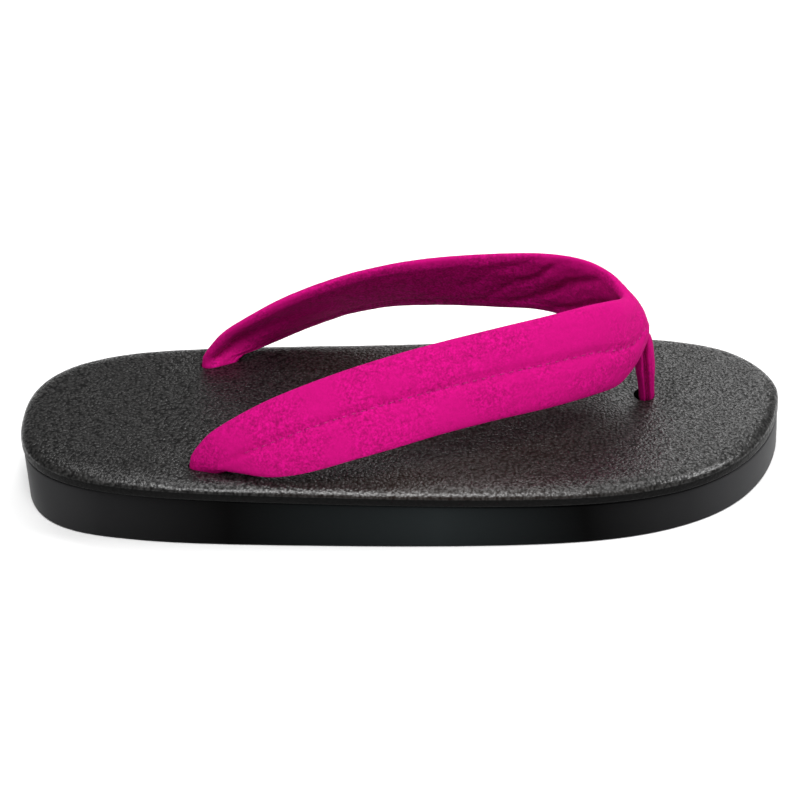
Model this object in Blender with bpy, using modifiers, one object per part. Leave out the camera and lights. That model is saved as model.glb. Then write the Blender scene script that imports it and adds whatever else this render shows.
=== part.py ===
"""A flat thong sandal in the east asian style: a wedge sole, a covered footbed, a V strap and a toe post.

Right foot. Metres, +Z up. +X runs from the heel to the toe, +Y to the inner (medial) side of the foot.
The pieces are made with y = 0 on the heel's centre line. At the end they are moved sideways together,
so that the origin lies on the floor under the middle of the whole sandal.
"""

import math

import bmesh
import bpy
import numpy as np
from mathutils import Vector

# Footbed outline, seen from above
LENGTH = 0.250
HEEL_HALF_WIDTH = 0.0425
BALL_MEDIAL_HALF_WIDTH = 0.0395
BALL_LATERAL_HALF_WIDTH = 0.055
BALL_STATION = 0.80  # share of the length at which the sides reach the ball widths
TOE_SWING = 0.009  # how far the toe's tip lies to the medial side of the heel's centre line
END_SQUARENESS = 5.4  # power of the length in the outline's superellipse
HEEL_FULLNESS = 2.5  # power of the width at the heel
TOE_FULLNESS = 1.7  # power of the width at the toe
OUTLINE_STEPS = 44  # points along each side

# Thicknesses
HEEL_SOLE_HEIGHT = 0.019
TOE_SOLE_HEIGHT = 0.013
FOOTBED_THICKNESS = 0.0062
FOOTBED_UPPER_RADIUS = 0.0032
FOOTBED_LOWER_RADIUS = 0.0009
SOLE_EDGE_RADIUS = 0.0007
HEEL_OVERHANG = 0.0018  # how far the footbed stands out over the sole
TOE_OVERHANG = 0.0008
CLEARANCE = 0.0003  # between pieces that meet

# Toe post
POST_FROM_HEEL = 0.2062
POST_OFFSET = 0.005  # to the medial side of the heel's centre line
POST_LENGTH = 0.0066  # along the foot, at its fullest
POST_WIDTH = 0.0074  # across the foot, at its fullest
POST_LEAN = 0.0014  # how far its top stands behind its foot
POST_FOLD = 0.0009  # valley between the two plies of the folded strip
POST_FOLD_WIDTH = 0.0042
POST_HEADROOM = 0.0009  # between its top and the underside of the strap's nose
POST_POINTS = 24
HOLE_SLACK = 0.0012  # open ring round the post
HOLE_SETBACK = 0.0012  # from the post's centre back to the hole's
HOLE_POINTS = 32

# Strap
ROOT_FROM_HEEL = 0.0577  # the strap's rearmost point
ROOT_OFFSET = -0.002  # middle between the two roots, to the lateral side of the heel's centre line
NOSE_LEAD = 0.0015  # how far the strap's front stands before the toe post's centre
TOP_SPREAD = 0.0295  # upper edge, widest distance from the strap's own centre line
LOW_SPREAD = 0.046  # lower edge, likewise
TOP_RISE = 0.0432  # upper edge, highest point over the footbed
LOW_RISE = 0.0153  # lower edge, highest point over the footbed beside the foot
STRAP_THICKNESS = 0.0055
STRAP_CAMBER = 0.0005  # how far the band bows outwards between its edges
SEAM_DEPTH = 0.0009  # valley along the middle of the outer face
SEAM_SHARE = 0.16  # half width of that valley, as a share of the band's half width
FOLD_DEPTH = 0.0016  # valley in the inner face, where the band is folded into its slot
FOLD_PLACE = 0.35  # where that valley lies, from 0 at the band's middle to 1 at its upper edge
FOLD_SHARE = 0.30
TAIL_LENGTH = 0.0130  # the end that goes down through the footbed
TAIL_THICKNESS = 0.0050
TAIL_ANGLE = math.radians(20)  # the slots run apart towards the toe
BAND_LIFT = 0.0008  # lowest that the band comes over the footbed
STEPS_PER_ROW = 3
POINTS_ACROSS = 10

# The strap's half, from its tail to the nose. Each row is one cross-section: its upper and its lower
# edge as shares of the strap's reach, TOP_SPREAD or LOW_SPREAD, and TOP_RISE or LOW_RISE, then how
# much of STRAP_THICKNESS and of FOLD_DEPTH it has.
STRAP_ROWS = (
    # top_x, top_y, top_z, low_x, low_y, low_z, body, fold
    (0.003, 1.00, 0.060, 0.100, 0.770, 0.000, 0.86, 1.00),
    (0.016, 1.00, 0.130, 0.130, 0.830, 0.000, 0.90, 1.00),
    (0.048, 1.00, 0.255, 0.168, 0.905, 0.050, 0.92, 0.90),
    (0.100, 1.00, 0.375, 0.220, 0.965, 0.180, 0.96, 0.60),
    (0.172, 1.00, 0.510, 0.280, 0.998, 0.360, 1.00, 0.30),
    (0.265, 1.00, 0.645, 0.352, 0.998, 0.560, 1.00, 0.10),
    (0.378, 0.98, 0.775, 0.440, 0.960, 0.730, 1.00, 0.00),
    (0.510, 0.91, 0.880, 0.545, 0.868, 0.860, 1.00, 0.00),
    (0.650, 0.79, 0.950, 0.660, 0.765, 0.945, 1.00, 0.00),
    (0.768, 0.66, 0.992, 0.770, 0.662, 0.990, 1.00, 0.00),
    (0.852, 0.50, 0.998, 0.860, 0.500, 0.935, 1.00, 0.00),
    (0.905, 0.32, 0.960, 0.920, 0.330, 0.850, 1.04, 0.00),
    (0.931, 0.15, 0.905, 0.962, 0.150, 1.060, 1.10, 0.00),
    (0.940, 0.00, 0.872, 0.985, 0.000, 1.360, 1.14, 0.00),
)
TOP_COLUMNS = slice(0, 3)
LOW_COLUMNS = slice(3, 6)
BODY_COLUMN = 6
FOLD_COLUMN = 7
NOSE_SHARE = STRAP_ROWS[-1][5]  # the nose's underside, as a share of LOW_RISE

# The toe post from its foot to its top: height over the footbed as a share of the post's height, then
# the section's length and width as shares of POST_LENGTH and POST_WIDTH.
POST_ROWS = (
    # height, length, width
    (0.00, 0.80, 0.90),
    (0.22, 0.88, 0.94),
    (0.45, 1.00, 1.00),
    (0.64, 0.98, 0.92),
    (0.80, 0.88, 0.68),
    (0.93, 0.66, 0.36),
    (1.00, 0.36, 0.14),
)

FINISHES = {
    # name: colour (linear), roughness
    "eva_foam": ((0.012, 0.012, 0.013, 1.0), 0.45),
    "grained_leatherette": ((0.030, 0.029, 0.028, 1.0), 0.55),
    "fuchsia_velvet": ((0.72, 0.006, 0.24, 1.0), 0.85),
}

ROOT_X = ROOT_FROM_HEEL - 0.5 * LENGTH
POST_X = POST_FROM_HEEL - 0.5 * LENGTH
STRAP_REACH = POST_X + NOSE_LEAD - ROOT_X
POST_HEIGHT = LOW_RISE * NOSE_SHARE - POST_HEADROOM


def smoothstep(share):
    """0 before 0, 1 after 1 and an S curve between."""
    t = np.clip(share, 0.0, 1.0)
    return t * t * (3.0 - 2.0 * t)


def station(x):
    """Share of the length from the heel's tip, for x along the sandal."""
    return x / LENGTH + 0.5


def side_of_outline(x, ball_half_width):
    """Distance of one side from the swung centre line at x: a superellipse whose width grows to the ball."""
    growth = smoothstep(station(x) / BALL_STATION)
    half_width = HEEL_HALF_WIDTH + (ball_half_width - HEEL_HALF_WIDTH) * growth
    fullness = np.where(x < 0, HEEL_FULLNESS, TOE_FULLNESS)
    left = np.clip(1.0 - np.abs(2.0 * x / LENGTH) ** END_SQUARENESS, 0.0, 1.0)
    return half_width * left ** (1.0 / fullness)


def footbed_outline():
    """The footbed's outline from above, anticlockwise from the heel's tip."""
    turn = np.linspace(0.0, math.pi, OUTLINE_STEPS + 1)
    x = -0.5 * LENGTH * np.cos(turn)
    swing = TOE_SWING * station(x) ** 3
    lateral = np.column_stack([x, swing - side_of_outline(x, BALL_LATERAL_HALF_WIDTH)])
    medial = np.column_stack([x, swing + side_of_outline(x, BALL_MEDIAL_HALF_WIDTH)])
    return np.concatenate([lateral, medial[-2:0:-1]])


def sole_outline():
    """The footbed's outline moved inwards along its normals, by its overhang over the sole."""
    outline = footbed_outline()
    tangent = np.roll(outline, -1, axis=0) - np.roll(outline, 1, axis=0)
    tangent /= np.linalg.norm(tangent, axis=1)[:, None]
    outward = np.column_stack([tangent[:, 1], -tangent[:, 0]])
    overhang = HEEL_OVERHANG + (TOE_OVERHANG - HEEL_OVERHANG) * station(outline[:, 0])
    return outline - outward * overhang[:, None]


def sole_top(x):
    """Height of the wedge sole's upper face."""
    return HEEL_SOLE_HEIGHT + (TOE_SOLE_HEIGHT - HEEL_SOLE_HEIGHT) * station(x)


def footbed_under(x):
    """Height of the footbed's lower face."""
    return sole_top(x) + CLEARANCE


def footbed_top(x):
    """Height of the footbed's upper face."""
    return footbed_under(x) + FOOTBED_THICKNESS


def strap_axis(x):
    """Y of the strap's own centre line, from between the roots to the toe post."""
    way = (x - ROOT_X) / (POST_X - ROOT_X)
    return POST_OFFSET * way + ROOT_OFFSET * (1.0 - way) ** 3


def clear_scene():
    for obj in list(bpy.data.objects):
        bpy.data.objects.remove(obj, do_unlink=True)


def make_collection(name):
    collection = bpy.data.collections.new(name)
    bpy.context.scene.collection.children.link(collection)
    return collection


def make_material(name):
    colour, roughness = FINISHES[name]
    material = bpy.data.materials.new(name)
    material.use_nodes = True
    shader = material.node_tree.nodes["Principled BSDF"]
    shader.inputs["Base Color"].default_value = colour
    shader.inputs["Roughness"].default_value = roughness
    shader.inputs["Metallic"].default_value = 0.0
    return material


def new_object(name, mesh, collection, material=None):
    obj = bpy.data.objects.new(name, mesh)
    collection.objects.link(obj)
    if material:
        mesh.materials.append(material)
    mesh.shade_smooth()
    mesh.set_sharp_from_angle(angle=math.radians(40))
    return obj


def flat_outline_mesh(name, points):
    """The outline as a filled 2D curve with a thickness, made a mesh."""
    curve = bpy.data.curves.new(name, "CURVE")
    curve.dimensions = "2D"
    curve.fill_mode = "BOTH"
    curve.extrude = 0.5 * FOOTBED_THICKNESS
    spline = curve.splines.new("POLY")
    spline.points.add(len(points) - 1)
    for point, (x, y) in zip(spline.points, points):
        point.co = (x, y, 0.0, 1.0)
    spline.use_cyclic_u = True
    holder = bpy.data.objects.new(name, curve)
    bpy.context.scene.collection.objects.link(holder)
    graph = bpy.context.evaluated_depsgraph_get()
    mesh = bpy.data.meshes.new_from_object(holder.evaluated_get(graph))
    bpy.data.objects.remove(holder, do_unlink=True)
    return mesh


def slab(name, points, under, over, collection, material=None):
    """A flat piece with this outline, whose two faces follow the heights under(x) and over(x)."""
    mesh = flat_outline_mesh(name, points)
    body = bmesh.new()
    body.from_mesh(mesh)
    bmesh.ops.remove_doubles(body, verts=body.verts, dist=1e-6)
    bmesh.ops.recalc_face_normals(body, faces=body.faces)
    for direction in (-1, 1):
        cap = [face for face in body.faces if face.normal.z * direction > 0.9]
        bmesh.ops.dissolve_faces(body, faces=cap)
    for vertex in body.verts:
        height = over if vertex.co.z > 0 else under
        vertex.co.z = height(vertex.co.x)
    body.to_mesh(mesh)
    body.free()
    return new_object(name, mesh, collection, material)


def round_rims(obj, upper_radius, lower_radius, segments):
    """Rounds the slab's two rims, each to its own radius, by bevel weights."""
    mesh = obj.data
    weights = mesh.attributes.new("bevel_weight_edge", "FLOAT", "EDGE")
    largest = max(upper_radius, lower_radius)
    middle = sum(vertex.co.z for vertex in mesh.vertices) / len(mesh.vertices)
    for cap in [face for face in mesh.polygons if len(face.vertices) > 4]:
        radius = upper_radius if cap.center.z > middle else lower_radius
        for loop in cap.loop_indices:
            weights.data[mesh.loops[loop].edge_index].value = radius / largest
    bevel = obj.modifiers.new("rounded rims", "BEVEL")
    bevel.limit_method = "WEIGHT"
    bevel.width = largest
    bevel.segments = segments
    bevel.use_clamp_overlap = False


def cut(obj, cutter):
    """Takes the cutter's shape out of the object and leaves the cutter as a hidden guide."""
    cutter.hide_render = True
    cutter.display_type = "WIRE"
    boolean = obj.modifiers.new(cutter.name, "BOOLEAN")
    boolean.operation = "DIFFERENCE"
    boolean.object = cutter


def loft(name, rings, collection, material):
    """A closed solid through rings of points, an array of (ring, point, xyz), with a flat cap on each end."""
    count = rings.shape[1]
    body = bmesh.new()
    made = [[body.verts.new(Vector(point)) for point in ring] for ring in rings]
    for ring, following in zip(made, made[1:]):
        for i in range(count):
            j = (i + 1) % count
            body.faces.new((ring[i], ring[j], following[j], following[i]))
    body.faces.new(made[0][::-1])
    body.faces.new(made[-1])
    bmesh.ops.recalc_face_normals(body, faces=body.faces)
    mesh = bpy.data.meshes.new(name)
    body.to_mesh(mesh)
    body.free()
    return new_object(name, mesh, collection, material)


def smooth_rows(rows):
    """Catmull-Rom curve through the rows, with STEPS_PER_ROW steps from each row to the next."""
    padded = np.concatenate([[2 * rows[0] - rows[1]], rows, [2 * rows[-1] - rows[-2]]])
    before, start, end, after = padded[:-3], padded[1:-2], padded[2:-1], padded[3:]
    found = []
    for t in np.arange(STEPS_PER_ROW) / STEPS_PER_ROW:
        slope = (end - before) * t
        bend = (2 * before - 5 * start + 4 * end - after) * t**2
        twist = (3 * start - before - 3 * end + after) * t**3
        found.append(start + 0.5 * (slope + bend + twist))
    curve = np.stack(found, axis=1).reshape(-1, rows.shape[1])
    return np.concatenate([curve, rows[-1:]])


def edge_points(shares, spread, rise, side):
    """Points of one edge of the strap, from its shares of reach, spread and rise, on one side."""
    x = ROOT_X + STRAP_REACH * shares[:, 0]
    y = strap_axis(x) + side * spread * shares[:, 1]
    z = footbed_top(x) + rise * shares[:, 2]
    return np.column_stack([x, y, z])


def strap_sections():
    """Upper edge, lower edge, body and fold of each section, from the lateral root to the medial one."""
    half = np.array(STRAP_ROWS)
    sections = []
    for rows, side in ((half, -1.0), (half[-2::-1], 1.0)):
        top = edge_points(rows[:, TOP_COLUMNS], TOP_SPREAD, TOP_RISE, side)
        low = edge_points(rows[:, LOW_COLUMNS], LOW_SPREAD, LOW_RISE, side)
        sections.append(np.hstack([top, low, rows[:, BODY_COLUMN:]]))
    smooth = smooth_rows(np.concatenate(sections))
    return smooth[:, :3], smooth[:, 3:6], smooth[:, BODY_COLUMN], smooth[:, FOLD_COLUMN]


def section_loop():
    """The band's section as a loop of points: the share across, then which face each point is on."""
    half_turn = np.linspace(0.0, math.pi, POINTS_ACROSS + 1)
    across = np.concatenate([np.cos(half_turn), np.cos(half_turn)[-2:0:-1]])
    outer = np.arange(len(across)) <= POINTS_ACROSS
    return across, outer


def padding(across):
    """Half thickness of the padded section: full in the middle, rounded off at both edges."""
    return np.sqrt(1.0 - across**4)


def unit(vectors):
    return vectors / np.linalg.norm(vectors, axis=-1, keepdims=True)


def band_rings():
    """The band over the footbed: rounded sections, with a seam valley outside and a fold inside."""
    top, low, body, fold = strap_sections()
    middle = 0.5 * (top + low)
    half = 0.5 * (top - low)
    outward = unit(np.cross(unit(np.gradient(middle, axis=0)), half))
    across, outer = section_loop()
    pad = 0.5 * STRAP_THICKNESS * padding(across) * np.where(outer, 1.0, -1.0)
    bow = STRAP_CAMBER * (1.0 - across**2)
    seam = SEAM_DEPTH * np.exp(-((across / SEAM_SHARE) ** 2)) * outer
    crease = FOLD_DEPTH * np.exp(-(((across - FOLD_PLACE) / FOLD_SHARE) ** 2)) * ~outer
    offset = body[:, None] * (pad + bow - seam) + fold[:, None] * crease
    rings = middle[:, None] + half[:, None] * across[None, :, None] + outward[:, None] * offset[..., None]
    rings[..., 2] = np.maximum(rings[..., 2], footbed_top(rings[..., 0]) + BAND_LIFT)
    return rings


def tail_plan(side, growth):
    """Outline from above of one tail, in the order of the band's section, grown all round."""
    across, outer = section_loop()
    forward = np.array([math.cos(TAIL_ANGLE), side * math.sin(TAIL_ANGLE)])
    sideways = np.array([-math.sin(TAIL_ANGLE), side * math.cos(TAIL_ANGLE)])
    centre = np.array([ROOT_X, side * TOP_SPREAD]) + forward * 0.5 * TAIL_LENGTH
    lengthwise = -across * (0.5 * TAIL_LENGTH + growth)
    thickness = padding(across) * np.where(outer, 1.0, -1.0) * (0.5 * TAIL_THICKNESS + growth)
    plan = centre + lengthwise[:, None] * forward + thickness[:, None] * sideways
    plan[:, 1] += strap_axis(plan[:, 0])
    return plan


def tail_rings(side):
    """Two rings of a tail: just over the sole, and just over the footbed."""
    plan = tail_plan(side, 0.0)
    bottom = np.column_stack([plan, sole_top(plan[:, 0]) + CLEARANCE])
    neck = np.column_stack([plan, footbed_top(plan[:, 0]) + CLEARANCE])
    return np.stack([bottom, neck])


def post_plan(length, width):
    """A folded strip from above: two plies one behind the other, with a valley between on each side."""
    turn = np.linspace(0.0, 2.0 * math.pi, POST_POINTS, endpoint=False)
    x = 0.5 * length * np.cos(turn)
    fold = POST_FOLD * width / POST_WIDTH * np.exp(-((x / (0.25 * POST_FOLD_WIDTH)) ** 2))
    side = np.sign(np.sin(turn)) * np.abs(np.sin(turn)) ** 0.7
    return np.column_stack([x, side * (0.5 * width - fold)])


def post_rings():
    """The toe post's rings, from just over the sole, through the footbed, to its top under the nose."""
    rows = smooth_rows(np.array(POST_ROWS))
    foot = post_plan(POST_LENGTH * rows[0, 1], POST_WIDTH * rows[0, 2])
    foot = foot + np.array([POST_X, POST_OFFSET])
    rings = [np.column_stack([foot, sole_top(foot[:, 0]) + CLEARANCE])]
    for height, length, width in rows:
        plan = post_plan(POST_LENGTH * length, POST_WIDTH * width)
        plan = plan + np.array([POST_X - POST_LEAN * height, POST_OFFSET])
        z = np.full(len(plan), footbed_top(POST_X) + POST_HEIGHT * height)
        rings.append(np.column_stack([plan, z]))
    return np.stack(rings)


def hole_plan():
    """The oval hole in the footbed for the toe post, from above."""
    turn = np.linspace(0.0, 2.0 * math.pi, HOLE_POINTS, endpoint=False)
    x = POST_X - HOLE_SETBACK + (0.5 * POST_LENGTH + HOLE_SLACK) * np.cos(turn)
    y = POST_OFFSET + (0.5 * POST_WIDTH + HOLE_SLACK) * np.sin(turn)
    return np.column_stack([x, y])


def build_outsole(collection):
    """The wedge sole, a little inside the footbed's outline."""
    foam = make_material("eva_foam")
    sole = slab("outsole", sole_outline(), lambda x: 0.0, sole_top, collection, foam)
    round_rims(sole, SOLE_EDGE_RADIUS, SOLE_EDGE_RADIUS, 2)
    return sole


def build_footbed(collection, cutters):
    """The covered insole board, with a slot for each strap tail and an oval hole for the toe post."""
    cover = make_material("grained_leatherette")
    footbed = slab("footbed", footbed_outline(), footbed_under, footbed_top, collection, cover)
    round_rims(footbed, FOOTBED_UPPER_RADIUS, FOOTBED_LOWER_RADIUS, 4)
    holes = {
        "lateral_tail_slot": tail_plan(-1.0, CLEARANCE),
        "medial_tail_slot": tail_plan(1.0, CLEARANCE),
        "toe_post_hole": hole_plan(),
    }
    over = TOE_SOLE_HEIGHT + HEEL_SOLE_HEIGHT + 2 * FOOTBED_THICKNESS
    for name, plan in holes.items():
        cut(footbed, slab(name, plan, lambda x: 0.0, lambda x: over, cutters))
    return footbed


def build_strap(collection, velvet):
    """The V strap: one padded band, joined round the nose, with a tail at each end."""
    rings = np.concatenate([tail_rings(-1.0), band_rings(), tail_rings(1.0)[::-1]])
    return loft("strap", rings, collection, velvet)


def build_toe_post(collection, velvet):
    """The folded strip between the big toe and the second toe, from the footbed to the strap's nose."""
    return loft("toe_post", post_rings(), collection, velvet)


def centre_sideways(pieces, guides):
    """Moves everything sideways, so that the origin lies under the middle of the pieces' whole width."""
    graph = bpy.context.evaluated_depsgraph_get()
    sides = [corner[1] for piece in pieces for corner in piece.evaluated_get(graph).bound_box]
    middle = 0.5 * (min(sides) + max(sides))
    for obj in pieces + guides:
        obj.location.y -= middle


def main():
    clear_scene()
    sandal = make_collection("thong_sandal")
    cutters = make_collection("cutters")
    velvet = make_material("fuchsia_velvet")
    pieces = [
        build_outsole(sandal),
        build_footbed(sandal, cutters),
        build_strap(sandal, velvet),
        build_toe_post(sandal, velvet),
    ]
    centre_sideways(pieces, list(cutters.objects))


main()
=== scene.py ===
# %% [markdown]
# # A flat thong sandal with a velvet strap
# The sandal is a foam wedge, a thin board wrapped in black grained leatherette, a padded velvet V strap
# and a folded velvet strip between the toes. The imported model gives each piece's place and size. Here each
# piece gets its real surface: the rolled edge, the seam, the stitches, the folds and the pile.

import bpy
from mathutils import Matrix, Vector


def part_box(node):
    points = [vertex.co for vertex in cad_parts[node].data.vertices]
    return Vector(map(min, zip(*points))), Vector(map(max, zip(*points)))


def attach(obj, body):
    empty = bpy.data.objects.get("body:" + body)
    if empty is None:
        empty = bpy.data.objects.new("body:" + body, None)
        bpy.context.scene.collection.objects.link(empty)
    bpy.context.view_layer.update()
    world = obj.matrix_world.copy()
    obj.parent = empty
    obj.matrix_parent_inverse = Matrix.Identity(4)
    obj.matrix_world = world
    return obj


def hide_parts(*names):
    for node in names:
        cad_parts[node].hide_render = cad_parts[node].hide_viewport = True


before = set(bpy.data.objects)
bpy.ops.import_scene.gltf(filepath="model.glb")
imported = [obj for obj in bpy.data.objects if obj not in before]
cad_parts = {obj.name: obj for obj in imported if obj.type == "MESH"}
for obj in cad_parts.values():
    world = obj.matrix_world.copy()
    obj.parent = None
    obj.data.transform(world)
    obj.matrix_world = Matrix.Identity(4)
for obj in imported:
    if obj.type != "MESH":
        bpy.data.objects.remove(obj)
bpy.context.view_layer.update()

# %% [markdown]
# ## Tools
# Every new piece is a surface worked out with numpy: one array of points for the whole piece, joined into
# faces by one array of indices. Typing vertices by hand would be slow and hard to change. A formula can be
# read, and the same formula places the stitches on the surface afterwards.

# %% Tools for surfaces
import math

import bmesh
import bpy
import numpy as np
from mathutils import Matrix, Vector

MM = 0.001


def unit(vectors):
    """Each vector divided by its length."""
    return vectors / np.linalg.norm(vectors, axis=-1, keepdims=True)


def smoothstep(share):
    """0 before 0, 1 after 1 and an S curve between."""
    t = np.clip(share, 0.0, 1.0)
    return t * t * (3.0 - 2.0 * t)


def fade(value, start, run):
    """0 up to the start, 1 once the run is past, and an S curve between."""
    return smoothstep((value - start) / run)


def bell(distance, width):
    """1 at no distance, falling off like a bell, to a third at one width."""
    return np.exp(-((distance / width) ** 2))


def soft_noise(points, size, seed, waves=16):
    """Smooth random bumps about one size across, mostly from -1 to 1: a sum of sine waves that run in all
    directions."""
    draw = np.random.default_rng(seed)
    pitch = draw.uniform(0.7, 1.5, waves) * 2.0 * math.pi / size
    direction = unit(draw.normal(size=(waves, points.shape[-1]))) * pitch[:, None]
    phase = draw.uniform(0.0, 2.0 * math.pi, waves)
    return np.sin(points @ direction.T + phase).sum(axis=-1) / math.sqrt(waves)


def grid_faces(rows, columns, wrap):
    """Quads between neighbouring points of a grid, as indices. With wrap the last column joins the first."""
    across = np.arange(columns if wrap else columns - 1)
    corner = np.arange(rows - 1)[:, None] * columns + across
    beside = np.arange(rows - 1)[:, None] * columns + (across + 1) % columns
    return np.stack([corner, beside, beside + columns, corner + columns], axis=-1).reshape(-1, 4)


def make_piece(name, points, face_groups, attributes=None):
    """A smooth mesh object from points and arrays of faces, closed at its seams, with faces outwards."""
    mesh = bpy.data.meshes.new(name)
    faces = [face for group in face_groups for face in group.tolist()]
    mesh.from_pydata(points.reshape(-1, 3).tolist(), [], faces)
    for label, values in (attributes or {}).items():
        layer = mesh.attributes.new(label, "FLOAT", "POINT")
        layer.data.foreach_set("value", np.ascontiguousarray(values, dtype=np.float32).ravel())
    body = bmesh.new()
    body.from_mesh(mesh)
    bmesh.ops.remove_doubles(body, verts=body.verts, dist=0.002 * MM)
    bmesh.ops.recalc_face_normals(body, faces=body.faces)
    body.to_mesh(mesh)
    body.free()
    mesh.shade_smooth()
    piece = bpy.data.objects.new(name, mesh)
    bpy.context.scene.collection.objects.link(piece)
    open_edges = sum(1 for count in edge_use(mesh) if count != 2)
    print(f"{name}: {len(mesh.vertices)} points, {len(mesh.polygons)} faces, {open_edges} open edges")
    return piece


def disc(first, count):
    """One face with many corners: the points of one ring, as an array of a single row."""
    return np.arange(first, first + count)[None]


def edge_use(mesh):
    """How many faces use each edge, as an array: 2 everywhere on a closed mesh."""
    used = np.empty(len(mesh.loops), dtype=np.int64)
    mesh.loops.foreach_get("edge_index", used)
    return np.bincount(used, minlength=len(mesh.edges))


# %% [markdown]
# ## Outline of the sandal
# Seen from above the sandal is a long rounded shape that widens to the ball of the foot and swings to the
# big toe. It could be traced as a curve by hand, but a formula stays smooth and needs few sizes: a
# superellipse gives both ends their roundness, and an S curve widens the sides. The length runs along X, and
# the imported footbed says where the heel's centre line lies.

# %% The outline
LENGTH = 250 * MM
HEEL_HALF_WIDTH = 42.5 * MM
BALL_MEDIAL = 39.5 * MM
BALL_LATERAL = 55 * MM
BALL_STATION = 0.80
TOE_SWING = 9 * MM
SWING_POWER = 3
END_SQUARENESS = 5.4
HEEL_FULLNESS, TOE_FULLNESS = 2.5, 1.7
OUTLINE_STEPS = 420


def station(x):
    """Share of the length from the heel's tip."""
    return x / LENGTH + 0.5


def outline_side(x, ball_half_width):
    """Half width = (heel width growing to ball width) times (1 - |2x/length|^5.4)^(1/fullness)."""
    growth = smoothstep(station(x) / BALL_STATION)
    half_width = HEEL_HALF_WIDTH + (ball_half_width - HEEL_HALF_WIDTH) * growth
    fullness = np.where(x < 0, HEEL_FULLNESS, TOE_FULLNESS)
    left = np.clip(1.0 - np.abs(2.0 * x / LENGTH) ** END_SQUARENESS, 0.0, 1.0)
    return half_width * left ** (1.0 / fullness)


def outline(steps):
    """Closed loop from the heel's tip along the lateral side to the toe and back along the medial side."""
    x = -0.5 * LENGTH * np.cos(np.linspace(0.0, math.pi, steps + 1))
    swing = TOE_SWING * station(x) ** SWING_POWER
    lateral = np.column_stack([x, swing - outline_side(x, BALL_LATERAL)])
    medial = np.column_stack([x, swing + outline_side(x, BALL_MEDIAL)])
    return np.concatenate([lateral, medial[-2:0:-1]])


def inset(loop, distance):
    """The loop moved inwards along its normals."""
    tangent = unit(np.roll(loop, -1, axis=0) - np.roll(loop, 1, axis=0))
    outward = np.column_stack([tangent[:, 1], -tangent[:, 0]])
    return loop - outward * np.broadcast_to(distance, len(loop))[:, None]


OUTLINE = outline(OUTLINE_STEPS)
HEEL_AXIS_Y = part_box("footbed")[0].y - OUTLINE[:, 1].min()
OUTLINE = OUTLINE + np.array([0.0, HEEL_AXIS_Y])
print("heel's centre line at y =", round(HEEL_AXIS_Y / MM, 2), "mm")

# %% [markdown]
# ## Slabs: the wedge sole and the covered board
# Both are flat slabs with shaped rims. A Bevel modifier would round every edge alike, and the board's upper
# rim is a long flat roll. So a rim is a profile carried round the outline: at each step of the profile the
# outline moves in by some distance and up to some height. The two faces are grids that run from the lateral
# side to the medial side, so that they can carry dips and be cut by the slots.

# %% A slab from an outline and a rim profile
HEEL_SOLE, TOE_SOLE = 19 * MM, 13 * MM
CLEARANCE = 0.3 * MM
FOOTBED_THICKNESS = 6.2 * MM
RELIEF_FADE = 2 * MM


def sole_top(x):
    """Height of the wedge's upper face: a straight line from the heel's thickness to the toe's."""
    return HEEL_SOLE + (TOE_SOLE - HEEL_SOLE) * station(x)


def footbed_top(x):
    """Height of the covered board's upper face, which lies on the sole."""
    return sole_top(x) + CLEARANCE + FOOTBED_THICKNESS


def face_grid(loop, columns):
    """Grid across a closed loop: straight rows from each lateral point to the medial point opposite."""
    half = len(loop) // 2
    lateral = loop[: half + 1]
    medial = loop[np.r_[0, np.arange(len(loop) - 1, half - 1, -1)]]
    share = np.linspace(0.0, 1.0, columns)[None, :, None]
    return lateral[:, None] * (1.0 - share) + medial[:, None] * share


def slab(name, loop, rim, under, over, columns, relief=None):
    """A closed slab. rim lists (inset, rise from the lower face, rise counted down from the upper face)."""
    rings = []
    for distance, rise, drop in rim:
        ring = inset(loop, distance)
        height = under(ring[:, 0]) + rise if drop is None else over(ring[:, 0]) - drop
        rings.append(np.column_stack([ring, height]))
    rings = np.stack(rings)
    count = rings.shape[1]
    top = face_grid(inset(loop, rim[-1][0]), columns)
    top = np.concatenate([top, over(top[..., :1]) - rim[-1][2]], axis=-1)
    bottom = face_grid(inset(loop, rim[0][0]), columns)
    bottom = np.concatenate([bottom, under(bottom[..., :1]) + rim[0][1]], axis=-1)
    points = [rings.reshape(-1, 3), top.reshape(-1, 3), bottom.reshape(-1, 3)]
    wall = grid_faces(len(rim), count, wrap=True)
    cap = grid_faces(top.shape[0], columns, wrap=False)
    starts = np.cumsum([0, len(points[0]), len(points[1])])
    faces = [wall, cap + starts[1], cap + starts[2]]
    points = np.concatenate(points)
    if relief:
        middle = 0.5 * (under(points[:, 0]) + over(points[:, 0]))
        points[:, 2] += relief(points) * smoothstep((points[:, 2] - middle) / RELIEF_FADE)
    return make_piece(name, points, faces)


def quarter_turn(reach, height, count, upper):
    """Rim steps round a quarter ellipse: out and up from the lower face, or up and in to the upper face."""
    angle = np.linspace(0.0, 0.5 * math.pi, count)
    if upper:
        return [(reach * (1 - math.cos(a)), 0.0, height * (1 - math.sin(a))) for a in angle]
    return [(reach * (1 - math.sin(a)), height * (1 - math.cos(a)), None) for a in angle]


# %% [markdown]
# ## The strap's own shape
# The strap is a flat padded tube that leaves a slot beside the heel, rises, turns round at the toe post and
# comes back down. It could be draped as cloth. Here it is a formula, because its edges then stay where the
# table puts them. The table gives the upper and lower edge at a few places, as shares of the strap's reach,
# spread and rise, and a smooth curve through it gives the edges everywhere. The section between the edges is
# a rounded pad that bows outwards, with a sewn valley in its outer face and, near the slots, a fold inside.

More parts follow.
